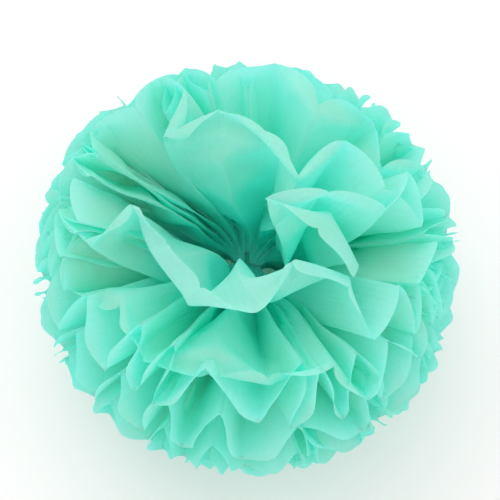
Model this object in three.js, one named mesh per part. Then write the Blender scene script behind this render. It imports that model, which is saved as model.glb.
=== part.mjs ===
// A ten-inch tissue paper pom pom, in millimetres, +Z up, standing on z = 0.
// Ten sheets are stacked, folded together like an accordion into a strip that runs along Y, cut to
// round ends, and tied round the middle with wire. Each end of each sheet then opens into a half
// circle of petals: the upper sheets are pulled up and the lower ones down, which makes a ball.
// The lowest sheet's petals are bent outward, and lie flat on the surface that the ball stands on.

import * as THREE from "three";

// The cut sheet.
const SHEETS = 10;
const PANELS = 22; // accordion panels across a sheet
const PANEL_WIDTH = 30; // from fold to fold
const NOTCH = 110; // from the tied neck to the notches between petals
const TIP = 121; // from the tied neck to the tip of a petal
const PAPER_HALF = { neck: 0.3, open: 0.5, ramp: 30 }; // half the modelled thickness, over a ramp

// The tied neck: every sheet is a flat strip here, one on the other.
const NECK = { halfWidth: 7, halfLength: 4, pitch: 1.1 };

// The ball. Slopes are in degrees above the horizontal, from the lowest sheet to the highest.
const SLOPES = [-62, -46, -32, -19, -7, 7, 21, 37, 55, 75];
const BEND_LENGTH = 26; // a sheet leaves the neck level and has turned to its slope by here
const FAN_CLOSING = 1.5; // degrees that a fan's side edges turn past the half circle
const SIDE = { far: 1, near: -1 };

// Rows of folds along a sheet, from the neck to the notches, and how deep the zigzag is there.
const ROWS = [0, 12, 30, 58, 86, NOTCH];
const DEPTH_GROWTH = 0.19; // half depth gained with each millimetre from the neck
const FLATTENING = 60; // the lowest sheet's folds open flat over this length, up to the notches

// The wire: a loop round the neck, whose two ends are twisted together and stand up. The loop's
// shoulders and corners are shares of its half width and half height.
const WIRE = { radius: 0.6, sides: 6, clearance: 0.5, steps: 90 };
const LOOP = { shoulder: 0.5, cornerOut: 0.93, cornerUp: 0.9 };
const TWIST = { radius: 0.75, turns: 3.5, turnPoints: 8, gap: 2, length: 20 };

const paper = new THREE.MeshStandardMaterial({ color: 0x7fe8cf, roughness: 0.9, metalness: 0 });
const steel = new THREE.MeshStandardMaterial({ color: 0xb9bcc0, roughness: 0.35, metalness: 1 });

const { clamp, degToRad, lerp } = THREE.MathUtils;

// A sheet's line from the neck, seen from the side: how far out it has gone, how high it is above
// the tie, and its slope. It leaves the neck level and turns at an even rate to its own slope.
function openLine(sheet, distance) {
  const slope = degToRad(SLOPES[sheet]);
  const level = (sheet - (SHEETS - 1) / 2) * NECK.pitch;
  const turned = Math.min(distance, BEND_LENGTH);
  const straight = distance - turned;
  const radius = BEND_LENGTH / slope;
  const angle = turned / radius;
  return {
    out: radius * Math.sin(angle) + straight * Math.cos(angle),
    height: level + radius * (1 - Math.cos(angle)) + straight * Math.sin(angle),
    angle,
  };
}

const TIE_HEIGHT = PAPER_HALF.open - openLine(0, NOTCH).height;

// The lowest sheet's petals leave that line at the notches and run out level. At the bend itself
// the two faces of the paper meet on a mitre.
function sideLine(sheet, distance) {
  const line = openLine(sheet, Math.min(distance, NOTCH));
  if (sheet > 0) return { ...openLine(sheet, distance), mitre: 1 };
  if (distance < NOTCH) return { ...line, mitre: 1 };
  const angle = distance === NOTCH ? line.angle / 2 : 0;
  return {
    out: line.out + distance - NOTCH,
    height: line.height,
    angle,
    mitre: 1 / Math.cos(angle),
  };
}

// Half the zigzag's depth: a panel keeps its width, so the folds are deeper where the fan is tight.
function foldDepth(sheet, distance, out) {
  const span = ((NECK.halfWidth + out) * Math.PI) / PANELS;
  const full = Math.sqrt(Math.max(0, PANEL_WIDTH ** 2 - span ** 2)) / 2;
  const depth = Math.min(full, distance * DEPTH_GROWTH);
  return sheet === 0 ? depth * clamp((NOTCH - distance) / FLATTENING, 0, 1) : depth;
}

// A point of a sheet. across runs from 0 to PANELS, distance from the neck to the tips, and face is
// 1 on the paper's upper face and -1 on its lower one.
function pointOn(sheet, side, across, distance, face) {
  const line = sideLine(sheet, distance);
  const zigzag = 1 - 2 * Math.abs((across % 2) - 1); // -1 and 1 on alternate folds
  const half = lerp(PAPER_HALF.neck, PAPER_HALF.open, Math.min(1, distance / PAPER_HALF.ramp));
  const lift = zigzag * foldDepth(sheet, distance, line.out) + face * half * line.mitre;
  const out = line.out - lift * Math.sin(line.angle);
  const turn = degToRad(lerp(-FAN_CLOSING, 180 + FAN_CLOSING, across / PANELS));
  return new THREE.Vector3(
    (NECK.halfWidth + out) * Math.cos(turn),
    SIDE[side] * (NECK.halfLength + out * Math.sin(turn)),
    line.height + lift * Math.cos(line.angle),
  );
}

// One face of a sheet as points and triangles: rows of folds from the near notches through the
// neck to the far notches, then a round petal on each panel at both ends.
function sheetLayout() {
  const places = [];
  const triangles = [];
  const place = (side, across, distance) => places.push({ side, across, distance }) - 1;

  const rowOf = (side, distance) =>
    Array.from({ length: PANELS + 1 }, (_, fold) => place(side, fold, distance));
  const nearRows = ROWS.map((distance) => rowOf("near", distance)).reverse();
  const farRows = ROWS.map((distance) => rowOf("far", distance));
  const rows = [...nearRows, ...farRows];

  rows.slice(1).forEach((row, r) => {
    const before = rows[r];
    for (let panel = 0; panel < PANELS; panel++) {
      const [a, b, c, d] = [before[panel], before[panel + 1], row[panel + 1], row[panel]];
      triangles.push([a, c, b], [a, d, c]);
    }
  });

  // Petals: on each panel, a half ellipse of four straight steps from one notch to the next.
  const petals = (side, notches) => {
    const edge = [];
    for (let panel = 0; panel < PANELS; panel++) {
      const arc = [0.25, 0.5, 0.75].map((step) => {
        const turn = Math.PI * step;
        const across = panel + (1 - Math.cos(turn)) / 2;
        return place(side, across, lerp(NOTCH, TIP, Math.sin(turn)));
      });
      const outline = [notches[panel], ...arc, notches[panel + 1]];
      for (let i = 1; i < outline.length - 1; i++) {
        const triangle = [outline[0], outline[i + 1], outline[i]];
        triangles.push(side === "far" ? triangle.reverse() : triangle);
      }
      edge.push(...outline.slice(0, -1));
    }
    return [...edge, notches[PANELS]];
  };
  const nearEdge = petals("near", nearRows[0]);
  const farEdge = petals("far", farRows[ROWS.length - 1]);
  const rightSide = rows.map((row) => row[0]);
  const leftSide = rows.map((row) => row[PANELS]);
  const rim = [
    ...nearEdge,
    ...leftSide.slice(1),
    ...farEdge.slice(0, -1).reverse(),
    ...rightSide.slice(1, -1).reverse(),
  ];
  return { places, triangles, rim };
}

const LAYOUT = sheetLayout();

// A closed solid: the layout once for each face of the paper, and a strip round its rim.
function sheetGeometry(sheet) {
  const { places, triangles, rim } = LAYOUT;
  const count = places.length;
  const points = [1, -1].flatMap((face) =>
    places.map((p) => pointOn(sheet, p.side, p.across, p.distance, face)),
  );
  const upper = triangles;
  const lower = triangles.map(([a, b, c]) => [a + count, c + count, b + count]);
  const wall = rim.flatMap((a, i) => {
    const b = rim[(i + 1) % rim.length];
    return [
      [a, b, b + count],
      [a, b + count, a + count],
    ];
  });
  const geometry = new THREE.BufferGeometry().setFromPoints(points);
  geometry.setIndex([...upper, ...lower, ...wall].flat());
  geometry.computeVertexNormals();
  return geometry;
}

// The wire's middle line: down one strand of the twist, round the neck, and up the other strand.
function wireGeometry() {
  const stackHalf = ((SHEETS - 1) / 2) * NECK.pitch + PAPER_HALF.neck;
  const gap = WIRE.clearance + WIRE.radius;
  const halfWide = NECK.halfWidth + gap;
  const halfHigh = stackHalf + gap;
  const steps = TWIST.turns * TWIST.turnPoints;
  const strand = (start) =>
    Array.from({ length: steps + 1 }, (_, i) => {
      const turn = start + (2 * Math.PI * TWIST.turns * i) / steps;
      const height = halfHigh + TWIST.gap + (TWIST.length * i) / steps;
      return new THREE.Vector3(TWIST.radius * Math.cos(turn), TWIST.radius * Math.sin(turn), height);
    });
  const corner = (x, z) => new THREE.Vector3(x * halfWide, 0, z * halfHigh);
  const loop = [
    corner(-LOOP.shoulder, 1),
    corner(-LOOP.cornerOut, LOOP.cornerUp),
    corner(-1, 0),
    corner(-LOOP.cornerOut, -LOOP.cornerUp),
    corner(0, -1),
    corner(LOOP.cornerOut, -LOOP.cornerUp),
    corner(1, 0),
    corner(LOOP.cornerOut, LOOP.cornerUp),
    corner(LOOP.shoulder, 1),
  ];
  const line = new THREE.CatmullRomCurve3([...strand(Math.PI).reverse(), ...loop, ...strand(0)]);
  const round = new THREE.Shape(
    Array.from({ length: WIRE.sides }, (_, i) => {
      const turn = (2 * Math.PI * i) / WIRE.sides;
      return new THREE.Vector2(WIRE.radius * Math.cos(turn), WIRE.radius * Math.sin(turn));
    }),
  );
  return new THREE.ExtrudeGeometry(round, {
    steps: WIRE.steps,
    bevelEnabled: false,
    extrudePath: line,
  });
}

const pomPom = new THREE.Group();
pomPom.name = "tissue_pom_pom";

for (let sheet = 0; sheet < SHEETS; sheet++) {
  const mesh = new THREE.Mesh(sheetGeometry(sheet), paper.clone());
  mesh.name = `tissue_sheet_${String(sheet + 1).padStart(2, "0")}`;
  pomPom.add(mesh);
}

const tie = new THREE.Mesh(wireGeometry(), steel);
tie.name = "wire_tie";
pomPom.add(tie);

pomPom.position.z = TIE_HEIGHT;

export default pomPom;
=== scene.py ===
# A ten-inch tissue paper pom pom. Ten sheets of tissue are cut, pleated and tied at the middle by
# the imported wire. Each sheet is a flat grid of paper here. It is folded and opened roughly by hand,
# and then settles as thin paper: it keeps its size, its panels stay stiff and its pleats soft, it
# keeps off its neighbours, and a few pleats are held where fingers pulled them.

import math

import bmesh
import bpy
import numpy as np
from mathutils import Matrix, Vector


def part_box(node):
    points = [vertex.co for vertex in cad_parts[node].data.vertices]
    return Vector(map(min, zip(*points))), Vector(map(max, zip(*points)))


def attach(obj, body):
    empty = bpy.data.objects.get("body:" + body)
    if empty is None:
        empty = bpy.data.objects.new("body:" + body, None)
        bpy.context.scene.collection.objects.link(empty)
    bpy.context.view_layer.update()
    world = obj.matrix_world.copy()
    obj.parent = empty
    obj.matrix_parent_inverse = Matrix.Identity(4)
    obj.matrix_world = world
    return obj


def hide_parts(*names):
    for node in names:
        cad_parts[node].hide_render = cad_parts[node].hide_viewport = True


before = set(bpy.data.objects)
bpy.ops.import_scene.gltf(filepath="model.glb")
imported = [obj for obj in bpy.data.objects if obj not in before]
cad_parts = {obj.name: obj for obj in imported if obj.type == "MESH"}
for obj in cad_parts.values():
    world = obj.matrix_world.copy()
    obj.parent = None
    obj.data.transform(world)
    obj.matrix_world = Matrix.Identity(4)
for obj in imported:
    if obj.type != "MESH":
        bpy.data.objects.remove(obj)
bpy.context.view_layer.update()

MM = 0.001  # the paper is worked in millimetres, and its meshes are in metres

# The cut sheet, as it was before it was folded.
SHEETS = 10
PANELS = 22
PANEL_WIDTH = 30.0
TIP = 121.0  # from the tied neck to the tips of the petals
SCALLOPS = [17, 17, 17, 17, 17, 17, 17, 14, 8, 4]  # how deep the notches are, lowest sheet first
FLAT_SIZE = (0.66, 0.25)  # metres

# The tied neck.
NECK_HALF_WIDTH = 7.0
NECK_HALF_LENGTH = 4.0
NECK_PITCH = 1.1  # from one sheet to the next
LOOP_HALF_HEIGHT = 6.95  # from the underside of the wire's loop to the middle of the neck

# The mesh of a sheet. Columns crowd together at the folds, and rows at the cut ends.
PANEL_COLUMNS = 6
COLUMNS = PANELS * PANEL_COLUMNS + 1
ROWS = 49
ROW_CROWDING = 0.5
CREASE = 0.1  # how sharp a pleat's fold stays when its mesh is smoothed
FOLDS = np.arange(PANELS + 1)
FOLD_COLUMNS = FOLDS * PANEL_COLUMNS
NEAR, FAR = 0, 1  # the two ends of a sheet, which open into the two fans

# The rough opening. Slopes are in degrees above the horizontal, lowest sheet first.
SLOPES = [-62, -46, -32, -19, -7, 6, 21, 39, 58, 78]
# Beside the seam between the two fans, where the upper sheets fall outwards.
SIDE_SLOPES = [-62, -46, -32, -20, -9, 2, 12, 22, 32, 42]
SPREAD = [0.3, 0.3, 0.3, 0.3, 0.3, 0.3, 0.3, 0.5, 1.2, 1.2]  # how unevenly the pleats are opened
# A sheet leaves the neck level, and has turned to its slope this far from it.
BEND_LENGTHS = [26, 26, 26, 26, 26, 26, 24, 20, 16, 11]
LEANS = [0, 0, 0, 0, 0, 0, 0, 0, -4, -8]  # how much further a sheet leans out towards its tips
LINE_POINTS = 61  # of a sheet's line from the neck to the tips
ARC_POINT = 50  # the one at whose distance the panels share out the half circle
FAN_ANGLE = 180.0
LEAST_RADIUS = 20.0  # nearer to the middle than this, closed pleats lie over as they do here
CLOSED, OPEN = 0.8, 29.4  # the least and most that a panel is opened
WIDEST_SCALE, HALVINGS = 1e4, 60  # of the search for the panels' shares
LAID_OVER = 68.0  # degrees that closed pleats lie over on one another
HALF_OPEN = 17.0  # a panel opened this much no longer lies over
DEPTH_GROWTH = 0.19  # half a pleat's depth gained with each millimetre from the neck
FLATTENING_END, FLATTENING, LEAST_FOLD = 13.0, 60.0, 0.15  # the lowest sheet's pleats, pressed flat
TILT, CURL, SWAY = 5.0, 12.0, 2.0  # degrees of unevenness in slope, curl and bearing
SEED = 3
PLEATS_ALIKE, PETALS_ALIKE = 2.6, 1.2  # how many sheets away the unevenness is still much alike
NEIGHBOURS = [0.25, 0.5, 0.25]  # weights that even out a fold with the ones beside it
MIDDLE_LINE = [0.125, 0.25, 0.25, 0.25, 0.125]  # weights that take the zigzag out of a row of folds

# Where things set in, in millimetres from the neck, and over what length.
UNEVEN_RAMP = (8, 60)
SWAY_RAMP = (30, 80)
CURL_RAMP = (40, 80)
LAID_RAMP = (35, 50)
WHOLE_RAMP = (25, 35)  # nearer to the neck, the paper is gathered narrower than it was cut
SEAM_RAMP = (0.35, 0.6)  # from the middle of a fan, 0, to its sides, 1

# Pleats of the two highest sheets that were opened one by one: fold number, its bearing and its slope.
FOLD, BEARING, SLOPE = 0, 1, 2
OPENED = {
    (9, NEAR): [
        (0, -9, 44), (1, 8, 43), (2, 4, 39), (6, 14, 40), (8, 27, 46), (9, 30, 58), (10, 45, 76),
        (11, 72, 62), (12, 102, 70), (13, 138, 68), (14, 168, 60), (15, 164, 47), (18, 170, 43),
        (21, 172, 42), (22, 188, 45),
    ],
    (8, NEAR): [
        (0, -4, 30), (4, 20, 34), (6, 42, 40), (7, 50, 44), (8, 70, 44), (9, 91, 44), (10, 111, 43),
        (11, 132, 42), (12, 151, 40), (13, 154, 38), (18, 168, 34), (22, 183, 30),
    ],
    (9, FAR): [
        (0, -18, 58), (1, -16, 68), (2, 4, 93), (3, 20, 72), (5, 14, 50), (7, 24, 56), (8, 38, 68),
        (9, 50, 80), (10, 84, 74), (11, 119, 67), (12, 147, 67), (13, 124, 60), (14, 131, 46),
        (15, 148, 44), (16, 165, 43), (17, 160, 41), (22, 177, 42),
    ],
    (8, FAR): [
        (0, -2, 32), (4, 14, 36), (6, 28, 44), (7, 36, 50), (8, 56, 46), (9, 74, 48), (10, 93, 46),
        (11, 111, 44), (12, 129, 42), (13, 147, 40), (14, 150, 36), (18, 160, 32), (22, 177, 30),
    ],
}

# Where fingers hold the tip of a pleat while the paper settles: sheet, end, fold and the place.
PULLS = [
    (9, NEAR, 9, (55, -32, 190)),
    (9, NEAR, 10, (27, -27, 195)),
    (9, NEAR, 11, (18, -57, 195)),
    (9, NEAR, 12, (-9, -44, 195)),
    (9, NEAR, 13, (-32, -29, 191)),
    (9, NEAR, 14, (-52, -9, 185)),
    (9, FAR, 0, (56, -22, 186)),
    (9, FAR, 1, (29, -13, 190)),
    (9, FAR, 2, (-6, -6, 190)),
    (9, FAR, 9, (13, 20, 182)),
    (9, FAR, 10, (4, 39, 186)),
    (9, FAR, 11, (-26, 50, 183)),
    (9, FAR, 12, (-44, 32, 179)),
    (8, NEAR, 7, (52, -65, 165)),
    (8, NEAR, 8, (27, -75, 165)),
    (8, NEAR, 9, (-1, -82, 158)),
    (8, NEAR, 10, (-28, -76, 158)),
    (8, NEAR, 11, (-52, -60, 160)),
    (8, NEAR, 12, (-72, -40, 158)),
    (8, FAR, 7, (46, 33, 175)),
    (8, FAR, 8, (46, 66, 166)),
    (8, FAR, 9, (22, 76, 168)),
]

# How the paper settles.
PASSES = 260
HELD_PASSES = 0.96  # the share of the passes in which the pulls hold
PULL_STEP = 2.0
FIRM, SHEARING, CHORD = 1.0, 0.5, 0.5  # how firmly neighbours, diagonals and whole panels keep to size
STIFF_PANEL, SOFT_PLEAT, STIFF_LENGTH = 0.35, 0.04, 0.35
PLEAT_SPRING = 0.82  # a pleat springs open until its sides span this share of their flat width
FLATNESS = 0.97  # a panel's chord is at least this much of its width
PINNED, FREE = 14.0, 34.0  # the paper is fixed up to here, and free from here, measured from the neck
OWN_GAP = 0.6  # the clearance between petals of one sheet
LEAST_GAP, SHEET_GAP = 0.4, 4.5  # the least and most clearance between two sheets
GAP_GROWTH, GAP_START = 0.07, 25.0  # clearance gained with each millimetre from here
CLEAR_FROM = 28.0  # nearer to the neck than this, the sheets may touch
OWN_PAPER = 4  # points of one sheet that are within this many own gaps on the flat paper are left alone
PUSH = 0.25  # the share of a missing gap that each pass makes good
PAIR_REACH = 6.0  # points this near to each other are watched
PAIR_PASSES = 10  # and are looked for again after this many passes
TABLE_GAP = 0.4  # how near the paper comes to the surface
TINY, SMALL = 1e-9, 1e-6  # added to divisors, so that none is nought

# The tissue's colours: thin and cloudy paper, pleats and cut edges, and a painted depth shade near the neck,
# deeper and greener, that stands in for the shade and the light filtered through many layers there.
# The face is what the paper throws back, and the glow is what shines through it.
FACE_THIN, FACE_CLOUDY = (0.70, 0.94, 0.85, 1), (0.76, 0.96, 0.88, 1)
# painted depth shade of the face near the neck
FACE_PAINTED_DEPTH_SHADE = (0.24, 0.965, 0.90, 1)
FACE_PLEAT, FACE_EDGE = (0.72, 0.945, 0.855, 1), (0.80, 0.97, 0.90, 1)
GLOW_THIN, GLOW_CLOUDY = (0.18, 0.97, 0.89, 1), (0.23, 0.98, 0.915, 1)
# painted depth shade of the glow near the neck
GLOW_PAINTED_DEPTH_SHADE = (0.03, 0.99, 0.94, 1)
GLOW_SHARE = 0.62
PAINTED_DEPTH_SHADE_RAMP = (22.0, 95.0)  # millimetres from the cut end over which the painted depth shade sets in
PLEAT_LINE = (0.0, 0.9)  # millimetres over which a pleat's line fades
EDGE_LINE = (0.1, 0.9)
GATHER_SCALE = (0.45, 0.02, 1)  # gathers are narrow across the paper and long along it
WIRE_DARK, WIRE_BRIGHT = (0.45, 0.46, 0.47, 1), (0.68, 0.69, 0.70, 1)
FLOOR_COLOUR = (0.985, 0.935, 0.94, 1)
WHITE = (1, 1, 1, 1)

# The stage, in metres and degrees.
MIDDLE = (0, 0, 0.1)
FLOOR_REACH = 3
ROOM_LIGHT = 0.95
LIGHT_BOUNCES = 24  # light goes deep between the sheets
WINDOW_PLACE, WINDOW_SIZE, WINDOW_POWER = (-0.5, 0.8, 1.6), 1.6, 6
CAMERA_AZIMUTH, CAMERA_ELEVATION, CAMERA_DISTANCE = -12, 72, 0.60
SENSOR, LENS = 36, 73.656  # millimetres
LENS_SHIFT = (0.006, 0.026)  # shares of the sensor's width


def ease(x):
    x = np.clip(x, 0, 1)
    return x * x * (3 - 2 * x)


def ramp(x, start, width):
    """0 up to start, 1 from a width further on, and an easy rise between them."""
    return ease((x - start) / width)


def cut_paper():
    """Every sheet's flat points, by sheet, row and column: how far across and along, in millimetres."""
    column = np.arange(COLUMNS)
    within = (column % PANEL_COLUMNS) / PANEL_COLUMNS
    across = (column // PANEL_COLUMNS + (1 - np.cos(np.pi * within)) / 2) * PANEL_WIDTH
    scallops = np.array(SCALLOPS)[:, None]
    reach = NECK_HALF_LENGTH + TIP - scallops * (1 - np.sin(np.pi * within))
    share = np.linspace(-1, 1, ROWS)
    share = share * (1 + ROW_CROWDING * (1 - np.abs(share)))
    along = share[None, :, None] * reach[:, None, :]
    return np.stack(np.broadcast_arrays(across, along), -1)


def alike(noise, reach):
    """Makes neighbouring sheets' noise alike and keeps its spread. The sheets are the second axis."""
    sheet = np.arange(SHEETS)
    weights = np.exp(-(((sheet[:, None] - sheet) / reach) ** 2))
    weights /= np.linalg.norm(weights, axis=1, keepdims=True)
    return np.einsum("st,et...->es...", weights, noise)


def pleat_pitches(unevenness, arc):
    """Shares an arc among the panels. None is wider than the paper allows."""
    low, high = 0.0, WIDEST_SCALE
    for _ in range(HALVINGS):
        scale = (low + high) / 2
        if np.clip(scale * unevenness, CLOSED, OPEN).sum() < arc:
            low = scale
        else:
            high = scale
    return np.clip(high * unevenness, CLOSED, OPEN)


def pleat_heights(pitches):
    """Heights of the folds above their middle line, for panels whose ends are these distances apart."""
    rises = np.sqrt(np.clip(PANEL_WIDTH**2 - pitches**2, 0, None))
    heights = np.concatenate([[0], np.cumsum(rises * np.where(np.arange(PANELS) % 2, -1, 1))])
    around = np.pad(heights, 2, "reflect", reflect_type="odd")
    return heights - np.convolve(around, MIDDLE_LINE, "valid")


def opened_by_hand(sheet, end, what):
    """The bearing or slope of every fold of a sheet whose pleats were opened one by one."""
    opened = np.array(OPENED[sheet, end], float)
    return np.interp(FOLDS, opened[:, FOLD], opened[:, what])


def sheet_lines(fold_at, sheet, end, noise):
    """Each column's line from the neck, seen from the side: steps along it, and how far out, how
    high and how steep it is at each of them."""
    tilt = np.convolve(np.pad(noise["tilt"][end, sheet], 1, "edge"), NEIGHBOURS, "valid")
    if (sheet, end) in OPENED:
        slopes = opened_by_hand(sheet, end, SLOPE)
    else:
        beside_seam = ramp(np.abs(FOLDS / PANELS - 0.5) * 2, *SEAM_RAMP)
        slopes = SLOPES[sheet] + (SIDE_SLOPES[sheet] - SLOPES[sheet]) * beside_seam
    slope = np.radians(np.interp(fold_at, FOLDS, slopes + TILT * tilt))
    curl = np.radians(CURL * np.interp(fold_at, FOLDS, noise["curl"][end, sheet])) * (sheet > 0)
    lean = np.radians(LEANS[sheet])
    steps = np.linspace(0, TIP, LINE_POINTS)[:, None]
    angles = slope * np.minimum(steps / BEND_LENGTHS[sheet], 1) + (curl + lean) * ramp(steps, *CURL_RAMP)
    middle = (angles[1:] + angles[:-1]) / 2
    start = np.zeros((1, len(slope)))
    outs = np.concatenate([start, np.cumsum(np.cos(middle) * steps[1], 0)])
    rises = np.concatenate([start, np.cumsum(np.sin(middle) * steps[1], 0)])
    return steps[:, 0], outs, rises, angles


def fold_places(sheet, end, noise, arc):
    """Where the folds are on the half circle, away from the neck, as shares of it."""
    if (sheet, end) in OPENED:
        return opened_by_hand(sheet, end, BEARING) / FAN_ANGLE
    pitches = pleat_pitches(np.exp(SPREAD[sheet] * noise["open"][end, sheet]), arc)
    return np.concatenate([[0], np.cumsum(pitches)]) / pitches.sum()


def zigzag(fold_at, distance, out, places, uneven):
    """How far the pleats lift the paper off its middle line."""
    even_shares = np.diff((fold_at / PANELS)[FOLD_COLUMNS])
    lift = np.empty_like(out)
    for row in range(len(out)):
        shares = even_shares * (1 - uneven[row, 0]) + np.diff(places) * uneven[row, 0]
        radii = NECK_HALF_WIDTH + (out[row, FOLD_COLUMNS[1:]] + out[row, FOLD_COLUMNS[:-1]]) / 2
        depth = min(1, distance[row, 0] * DEPTH_GROWTH * 2 / PANEL_WIDTH)
        lift[row] = np.interp(fold_at, FOLDS, pleat_heights(np.abs(radii * math.pi * shares))) * depth
    return lift


def laid_over(fold_at, distance, places, arc):
    """The angle by which closed pleats lie over on their neighbours."""
    closed = np.pad(np.clip(1 - np.abs(np.diff(places)) * arc / HALF_OPEN, 0, 1), 1, "edge")
    laid = np.radians(LAID_OVER) * np.interp(fold_at, FOLDS, (closed[1:] + closed[:-1]) / 2)
    return laid * ramp(distance, *LAID_RAMP)


def open_fan(flat, sheet, end, noise):
    """One end of a sheet, pleated and opened into a half circle: its points from the neck outwards."""
    distance = np.maximum(np.abs(flat[..., 1]) - NECK_HALF_LENGTH, 0)
    fold_at = flat[0, :, 0] / PANEL_WIDTH
    level = (sheet - (SHEETS - 1) / 2) * NECK_PITCH
    steps, outs, rises, angles = sheet_lines(fold_at, sheet, end, noise)

    def on_line(values):
        return np.stack([np.interp(distance[:, c], steps, values[:, c]) for c in range(COLUMNS)], 1)

    out, rise, angle = on_line(outs), on_line(rises), on_line(angles)

    # Bearings are even at the neck, and uneven further out.
    arc = (NECK_HALF_WIDTH + outs[ARC_POINT].mean()) * math.radians(FAN_ANGLE)
    places = fold_places(sheet, end, noise, arc)
    uneven = ramp(distance, *UNEVEN_RAMP)
    even_place = fold_at / PANELS
    place = even_place * (1 - uneven) + np.interp(fold_at, FOLDS, places) * uneven
    sway = np.interp(fold_at, FOLDS, noise["sway"][end, sheet]) * ramp(distance, *SWAY_RAMP)
    bearing = np.radians(FAN_ANGLE * place + SWAY * sway * np.sin(np.pi * even_place))

    # Pleats stand off the line, and closed ones lie over the other way on every other sheet.
    lift = zigzag(fold_at, distance, out, places, uneven)
    laid = laid_over(fold_at, distance, places, arc) * (-1) ** (sheet + end)
    bearing += lift * np.sin(laid) / np.maximum(NECK_HALF_WIDTH + out, LEAST_RADIUS)
    lift *= np.cos(laid)
    if sheet == 0:
        lift *= np.clip((TIP - FLATTENING_END - distance) / FLATTENING, LEAST_FOLD, 1)
    out = out - lift * np.sin(angle)

    side = 1 if end == FAR else -1
    return np.stack(
        [
            (NECK_HALF_WIDTH + out) * np.cos(bearing),
            side * (NECK_HALF_LENGTH + out * np.sin(bearing)),
            level + rise + lift * np.cos(angle),
        ],
        -1,
    )


def rough_opening(flat, tie_height):
    """Every sheet, roughly opened, with the pleats and petals as uneven as hands leave them."""
    random = np.random.default_rng(SEED)
    noise = {
        "open": alike(random.normal(size=(2, SHEETS, PANELS)), PLEATS_ALIKE),
        "tilt": alike(random.normal(size=(2, SHEETS, PANELS + 1)), PETALS_ALIKE),
        "curl": alike(random.normal(size=(2, SHEETS, PANELS + 1)), PETALS_ALIKE),
        "sway": alike(random.normal(size=(2, SHEETS, PANELS + 1)), PLEATS_ALIKE),
    }
    middle = ROWS // 2
    points = np.empty(flat.shape[:-1] + (3,))
    for sheet in range(SHEETS):
        points[sheet, middle:] = open_fan(flat[sheet, middle:], sheet, FAR, noise)
        points[sheet, middle::-1] = open_fan(flat[sheet, middle::-1], sheet, NEAR, noise)
        points[sheet, middle, :, 1] = 0
    points[..., 2] += tie_height
    return points.astype(np.float32)


def pairs(size, start, step, reach):
    """Two slices that pair every step-th place from start with the place that is reach further on."""
    return slice(start, size - reach, step), slice(start + reach, size, step)


def paper_rules(points, flat):
    """What paper does, as rules for pairs of points: two selections, their distance, how firmly it
    is kept, and whether only a shorter distance is put right."""
    every = slice(None)
    distance = np.abs(flat[..., 1]) - NECK_HALF_LENGTH
    flat_across = np.linalg.norm(np.diff(flat, axis=2), axis=-1)
    now_across = np.linalg.norm(np.diff(points, axis=2), axis=-1)
    whole = ramp((distance[:, :, 1:] + distance[:, :, :-1]) / 2, *WHOLE_RAMP)
    across = np.minimum(now_across, flat_across) * (1 - whole) + flat_across * whole
    gathered = across / flat_across
    rules = []

    def rule(a, b, length, firmness, only_short=False):
        rules.append((a, b, np.asarray(length, np.float32), firmness, only_short))

    # Neighbours keep their distance, along and across.
    for start in (0, 1):
        a, b = pairs(COLUMNS, start, 2, 1)
        rule((every, every, a), (every, every, b), across[:, :, start::2], FIRM)
        a, b = pairs(ROWS, start, 2, 1)
        rule((every, a), (every, b), np.linalg.norm(flat[:, b] - flat[:, a], axis=-1), FIRM)

    # Diagonals keep the paper from shearing.
    gathered_cell = (gathered[:, 1:] + gathered[:, :-1]) / 2
    upper, lower = pairs(ROWS, 0, 1, 1)
    for start in (0, 1):
        a, b = pairs(COLUMNS, start, 2, 1)
        for one, other in ((upper, lower), (lower, upper)):
            step = flat[:, other, b] - flat[:, one, a]
            length = np.hypot(step[..., 0] * gathered_cell[:, :, start::2], step[..., 1])
            rule((every, one, a), (every, other, b), length, SHEARING)

    # A panel resists bending, and a pleat springs a little way back open.
    for start in range(4):
        a, b = pairs(COLUMNS, start, 4, 2)
        two = across[:, :, start : COLUMNS - 2 : 4] + across[:, :, start + 1 : COLUMNS - 1 : 4]
        at_fold = (np.arange(start, COLUMNS - 2, 4) + 1) % PANEL_COLUMNS == 0
        rule(
            (every, every, a),
            (every, every, b),
            two * np.where(at_fold, PLEAT_SPRING, 1),
            np.where(at_fold, SOFT_PLEAT, STIFF_PANEL).astype(np.float32),
            True,
        )
        a, b = pairs(ROWS, start, 4, 2)
        length = np.linalg.norm(flat[:, b] - flat[:, a], axis=-1)
        rule((every, a), (every, b), length, STIFF_LENGTH, True)

    # A panel's two folds stay nearly its full width apart.
    widths = across.reshape(SHEETS, ROWS, PANELS, PANEL_COLUMNS).sum(-1)
    for start in (0, 1):
        a, b = pairs(COLUMNS, start * PANEL_COLUMNS, 2 * PANEL_COLUMNS, PANEL_COLUMNS)
        rule((every, every, a), (every, every, b), widths[:, :, start::2] * FLATNESS, CHORD, True)
    return rules


def keep_rule(points, freedom, rule):
    """Moves both ends of every pair of a rule towards the distance that it asks for."""
    a, b, length, firmness, only_short = rule
    near, far = points[a], points[b]
    apart = far - near
    now = np.sqrt(np.einsum("...k,...k->...", apart, apart)) + TINY
    error = now - length
    if only_short:
        error = np.minimum(error, 0)
    free_near, free_far = freedom[a], freedom[b]
    apart *= (firmness * error / (now * (free_near + free_far + TINY)))[..., None]
    near += free_near[..., None] * apart
    far -= free_far[..., None] * apart


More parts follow.
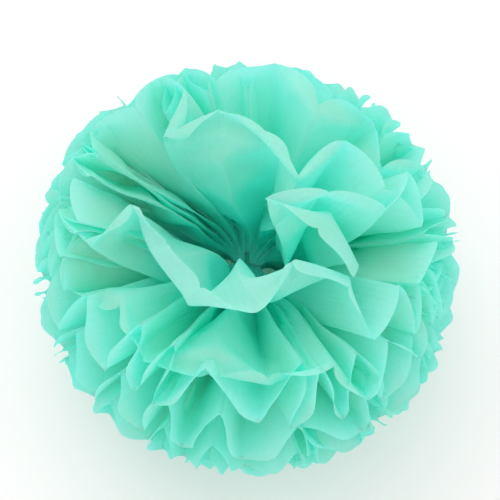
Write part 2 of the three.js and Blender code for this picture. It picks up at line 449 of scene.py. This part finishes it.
def close_pairs(points, reach):
    """Pairs of points less than reach apart, found by sorting the points into cells of that size."""
    cells = np.floor((points - points.min(0)) / reach).astype(np.int64) + 1
    size = cells.max(0) + 2
    key = (cells[:, 0] * size[1] + cells[:, 1]) * size[2] + cells[:, 2]
    order = np.argsort(key, kind="stable")
    key = key[order]
    firsts, seconds = [], []
    steps = (-1, 0, 1)
    shifts = sorted((x * size[1] + y) * size[2] + z for x in steps for y in steps for z in steps)
    for shift in shifts[len(shifts) // 2 :]:
        if shift == 0:
            begin = np.arange(1, len(key) + 1)
        else:
            begin = np.searchsorted(key, key + shift, "left")
        count = np.maximum(np.searchsorted(key, key + shift, "right") - begin, 0)
        first = np.repeat(np.arange(len(key)), count)
        within = np.arange(len(first)) - np.repeat(np.cumsum(count) - count, count)
        firsts.append(order[first])
        seconds.append(order[np.repeat(begin, count) + within])
    first, second = np.concatenate(firsts), np.concatenate(seconds)
    apart = points[first] - points[second]
    close = np.einsum("ij,ij->i", apart, apart) < reach * reach
    return first[close], second[close]


def watched_pairs(place, flat_place, sheet_of, movable, openness):
    """Pairs of points that could come too near to each other, and the clearance that each pair keeps."""
    first, second = close_pairs(place[movable], PAIR_REACH)
    first, second = movable[first], movable[second]
    own = sheet_of[first] == sheet_of[second]
    along_paper = np.linalg.norm(flat_place[first] - flat_place[second], axis=1)
    watched = ~own | (along_paper > OWN_PAPER * OWN_GAP)
    first, second, own = first[watched], second[watched], own[watched]
    gap = (openness[first] + openness[second]) / 2
    return first, second, np.where(own, np.minimum(gap, OWN_GAP), gap)


def push_apart(place, loose, first, second, gap):
    """Moves the points of pairs that are nearer than their clearance away from each other."""
    apart = place[second] - place[first]
    now = np.sqrt(np.einsum("ij,ij->i", apart, apart)) + SMALL
    touching = now < gap
    one, other = first[touching], second[touching]
    push = apart[touching] * (PUSH * (gap[touching] / now[touching] - 1))[:, None]
    push /= (loose[one] + loose[other] + SMALL)[:, None]
    for axis in range(3):
        place[:, axis] += np.bincount(other, push[:, axis] * loose[other], len(place))
        place[:, axis] -= np.bincount(one, push[:, axis] * loose[one], len(place))


def settle(points, flat):
    """Lets the opened sheets settle as thin paper."""
    distance = np.abs(flat[..., 1]) - NECK_HALF_LENGTH
    freedom = ramp(distance, PINNED, FREE - PINNED).astype(np.float32)
    rules = paper_rules(points, flat)
    place = points.reshape(-1, 3)
    flat_place = flat.reshape(-1, 2).astype(np.float32)
    loose = freedom.reshape(-1)
    sheet_of = np.repeat(np.arange(SHEETS), ROWS * COLUMNS)
    reach = distance.reshape(-1)
    movable = np.nonzero(reach > CLEAR_FROM)[0]
    openness = np.clip(GAP_GROWTH * (reach - GAP_START), LEAST_GAP, SHEET_GAP).astype(np.float32)
    held = [
        np.ravel_multi_index((sheet, end * (ROWS - 1), fold * PANEL_COLUMNS), points.shape[:3])
        for sheet, end, fold, _ in PULLS
    ]
    goals = np.array([goal for *_, goal in PULLS], np.float32)
    for count in range(PASSES):
        if count < HELD_PASSES * PASSES:
            move = goals - place[held]
            length = np.linalg.norm(move, axis=1, keepdims=True)
            place[held] += move * np.minimum(1, PULL_STEP / (length + SMALL))
        for rule in rules:
            keep_rule(points, freedom, rule)
        if count % PAIR_PASSES == 0:
            near_pairs = watched_pairs(place, flat_place, sheet_of, movable, openness)
        push_apart(place, loose, *near_pairs)
        np.maximum(place[:, 2], TABLE_GAP, out=place[:, 2])
    return points


def sheet_piece(name, points, flat, material):
    """The mesh of one sheet. Its map runs over the flat paper, and rim is the distance to the cut end."""
    bm = bmesh.new()
    flat_map = bm.loops.layers.uv.new("paper")
    rim = bm.verts.layers.float.new("rim")
    crease = bm.edges.layers.float.new("crease_edge")
    sharp = bm.verts.layers.float.new("crease_vert")
    bmesh.ops.create_grid(bm, x_segments=COLUMNS - 1, y_segments=ROWS - 1, size=1, calc_uvs=False)
    bm.verts.ensure_lookup_table()
    across = flat[..., 0].ravel()
    along = flat[..., 1].ravel()
    to_edge = (np.abs(flat[-1, :, 1]) - np.abs(flat[..., 1])).ravel()
    for vertex, point, edge in zip(bm.verts, points.reshape(-1, 3) * MM, to_edge):
        vertex.co = point
        vertex[rim] = edge
        vertex[sharp] = 1.0 if vertex.is_boundary and vertex.index % COLUMNS % PANEL_COLUMNS == 0 else 0.0
    for edge in bm.edges:
        columns = [v.index % COLUMNS for v in edge.verts]
        if columns[0] == columns[1] and columns[0] % PANEL_COLUMNS == 0 and 0 < columns[0] < COLUMNS - 1:
            edge[crease] = CREASE
    for face in bm.faces:
        face.smooth = True
        for loop in face.loops:
            i = loop.vert.index
            loop[flat_map].uv = (across[i] * MM / FLAT_SIZE[0], along[i] * MM / FLAT_SIZE[1] + 0.5)
    mesh = bpy.data.meshes.new(name)
    bm.to_mesh(mesh)
    bm.free()
    mesh.materials.append(material)
    piece = bpy.data.objects.new(name, mesh)
    bpy.context.scene.collection.objects.link(piece)
    smooth = piece.modifiers.new("smooth paper", "SUBSURF")
    smooth.levels = smooth.render_levels = 1
    return piece


def new_material(name):
    """A material with nothing in it but its output, and a short way to add and join its nodes."""
    material = bpy.data.materials.new(name)
    material.use_nodes = True
    tree = material.node_tree
    tree.nodes.clear()

    def node(kind, _sockets=None, **settings):
        made = tree.nodes.new(kind)
        for key, value in settings.items():
            setattr(made, key, value)
        for key, value in (_sockets or {}).items():
            if isinstance(value, bpy.types.NodeSocket):
                tree.links.new(value, made.inputs[key])
            else:
                made.inputs[key].default_value = value
        return made

    return material, node


def colour_between(node, share, first, second):
    sockets = {"Factor": share, "A": first, "B": second}
    return node("ShaderNodeMix", data_type="RGBA", _sockets=sockets).outputs["Result"]


def turned_into(node, value, low, high, to_low, to_high, kind="LINEAR"):
    """A value that runs from low to high, turned into one that runs from to_low to to_high."""
    sockets = {"Value": value, "From Min": low, "From Max": high, "To Min": to_low, "To Max": to_high}
    return node("ShaderNodeMapRange", interpolation_type=kind, _sockets=sockets).outputs[0]


def cloudiness(node, place, scale, detail, roughness=0.5, distortion=0.0):
    sockets = {"Vector": place, "Scale": scale, "Detail": detail, "Roughness": roughness}
    sockets["Distortion"] = distortion
    return node("ShaderNodeTexNoise", _sockets=sockets).outputs["Fac"]


def raised(node, height, strength, distance, under=None):
    """The look of a raised surface, on top of another one if there is one."""
    sockets = {"Height": height, "Strength": strength, "Distance": distance}
    if under is not None:
        sockets["Normal"] = under
    return node("ShaderNodeBump", _sockets=sockets).outputs[0]


def tissue_material():
    material, node = new_material("mint_tissue")
    place = node("ShaderNodeTexCoord").outputs["Object"]
    paper = node("ShaderNodeUVMap", uv_map="paper").outputs["UV"]
    flat_size = (FLAT_SIZE[0] / MM, FLAT_SIZE[1] / MM, 1)
    on_paper = node("ShaderNodeMapping", _sockets={"Vector": paper, "Scale": flat_size}).outputs["Vector"]
    across = node("ShaderNodeSeparateXYZ", _sockets={"Vector": on_paper}).outputs["X"]
    rim = node("ShaderNodeAttribute", attribute_name="rim").outputs["Fac"]

    # Fibres lie in clouds, a little thicker here and thinner there.
    clouds = cloudiness(node, place, scale=90.0, detail=4.0, roughness=0.6)
    cloudy = turned_into(node, clouds, low=0.3, high=0.7, to_low=0.0, to_high=1.0)

    # Pleats and cut edges show as thin lines.
    from_pleat = node("ShaderNodeMath", operation="PINGPONG", _sockets={0: across, 1: PANEL_WIDTH / 2})
    at_pleat = turned_into(node, from_pleat.outputs[0], *PLEAT_LINE, 1.0, 0.0, "SMOOTHSTEP")
    at_rim = turned_into(node, rim, *EDGE_LINE, 1.0, 0.0, "SMOOTHSTEP")

    # Painted depth shade: towards the neck the colour is painted deeper and greener, standing in for the
    # shade there and the light that glows through layer after layer.
    gathered = turned_into(node, rim, *PAINTED_DEPTH_SHADE_RAMP, 0.0, 1.0, "SMOOTHSTEP")
    tone = colour_between(node, cloudy, FACE_THIN, FACE_CLOUDY)
    tone = colour_between(node, gathered, tone, FACE_PAINTED_DEPTH_SHADE)
    tone = colour_between(node, at_pleat, tone, FACE_PLEAT)
    tone = colour_between(node, at_rim, tone, FACE_EDGE)
    through = colour_between(node, cloudy, GLOW_THIN, GLOW_CLOUDY)
    through = colour_between(node, gathered, through, GLOW_PAINTED_DEPTH_SHADE)

    # Wrinkles: gathers that run out from the neck, a soft crumple all over, and the pleats' own lines.
    gather_place = node("ShaderNodeMapping", _sockets={"Vector": on_paper, "Scale": GATHER_SCALE})
    gathers = cloudiness(node, gather_place.outputs[0], scale=1.0, detail=3.0)
    crumple = cloudiness(node, place, scale=60.0, detail=3.0, distortion=0.6)
    surface = raised(node, gathers, strength=0.35, distance=0.002)
    surface = raised(node, crumple, strength=0.25, distance=0.0015, under=surface)
    surface = raised(node, at_pleat, strength=0.3, distance=0.0004, under=surface)

    look = {"Base Color": tone, "Roughness": 0.72, "Specular IOR Level": 0.25, "Normal": surface}
    face = node("ShaderNodeBsdfPrincipled", _sockets=look)
    glow = node("ShaderNodeBsdfTranslucent", _sockets={"Color": through, "Normal": surface})
    both = node("ShaderNodeMixShader", _sockets={0: GLOW_SHARE, 1: face.outputs[0], 2: glow.outputs[0]})
    node("ShaderNodeOutputMaterial", _sockets={"Surface": both.outputs[0]})
    return material


def wire_material():
    material, node = new_material("drawn_wire")
    place = node("ShaderNodeTexCoord").outputs["Object"]
    marks = cloudiness(node, place, scale=900.0, detail=3.0)
    rough = turned_into(node, marks, low=0.0, high=1.0, to_low=0.22, to_high=0.5)
    tone = colour_between(node, marks, WIRE_DARK, WIRE_BRIGHT)
    surface = raised(node, marks, strength=0.2, distance=0.0001)
    look = {"Base Color": tone, "Metallic": 1.0, "Roughness": rough, "Normal": surface}
    steel = node("ShaderNodeBsdfPrincipled", _sockets=look)
    node("ShaderNodeOutputMaterial", _sockets={"Surface": steel.outputs[0]})
    return material


def floor_material():
    material, node = new_material("pale_floor")
    look = {"Base Color": FLOOR_COLOUR, "Roughness": 0.9, "Emission Color": WHITE, "Emission Strength": 0.04}
    matt = node("ShaderNodeBsdfPrincipled", _sockets=look)
    node("ShaderNodeOutputMaterial", _sockets={"Surface": matt.outputs[0]})
    return material


def look_at(thing, target):
    thing.rotation_euler = (Vector(target) - thing.location).to_track_quat("-Z", "Y").to_euler()


def soft_light(name, place, size, power, target):
    light = bpy.data.lights.new(name, "AREA")
    light.shape = "DISK"
    light.size = size
    light.energy = power
    lamp = bpy.data.objects.new(name, light)
    lamp.location = place
    look_at(lamp, target)
    bpy.context.scene.collection.objects.link(lamp)


def add_floor():
    mesh = bpy.data.meshes.new("floor")
    bm = bmesh.new()
    bmesh.ops.create_grid(bm, x_segments=1, y_segments=1, size=FLOOR_REACH)
    bm.to_mesh(mesh)
    bm.free()
    mesh.materials.append(floor_material())
    ground = bpy.data.objects.new("floor", mesh)
    bpy.context.scene.collection.objects.link(ground)
    return ground


def light_room():
    scene = bpy.context.scene
    world = bpy.data.worlds.new("soft room")
    world.use_nodes = True
    background = world.node_tree.nodes["Background"]
    background.inputs["Color"].default_value = WHITE
    background.inputs["Strength"].default_value = ROOM_LIGHT
    scene.world = world
    scene.view_settings.view_transform = "Standard"
    scene.cycles.max_bounces = LIGHT_BOUNCES
    scene.cycles.diffuse_bounces = LIGHT_BOUNCES
    soft_light("window", WINDOW_PLACE, WINDOW_SIZE, WINDOW_POWER, MIDDLE)


def add_camera():
    turn, rise = math.radians(CAMERA_AZIMUTH), math.radians(CAMERA_ELEVATION)
    camera = bpy.data.objects.new("camera", bpy.data.cameras.new("camera"))
    camera.data.sensor_width = SENSOR
    camera.data.lens = LENS
    camera.data.shift_x, camera.data.shift_y = LENS_SHIFT
    back = Vector((-math.sin(turn) * math.cos(rise), -math.cos(turn) * math.cos(rise), math.sin(rise)))
    camera.location = Vector(MIDDLE) + back * CAMERA_DISTANCE
    look_at(camera, MIDDLE)
    bpy.context.scene.collection.objects.link(camera)
    bpy.context.scene.camera = camera


wire_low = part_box("wire_tie")[0]
tie_height = wire_low.z / MM + LOOP_HALF_HEIGHT

flat = cut_paper()
points = settle(rough_opening(flat, tie_height), flat)

tissue = tissue_material()
for number in range(SHEETS):
    node_name = f"tissue_sheet_{number + 1:02d}"
    piece = sheet_piece("paper_" + node_name, points[number], flat[number], tissue)
    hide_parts(node_name)
    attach(piece, "root")

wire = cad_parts["wire_tie"]
wire.data.materials.clear()
wire.data.materials.append(wire_material())

floor = add_floor()
light_room()
add_camera()
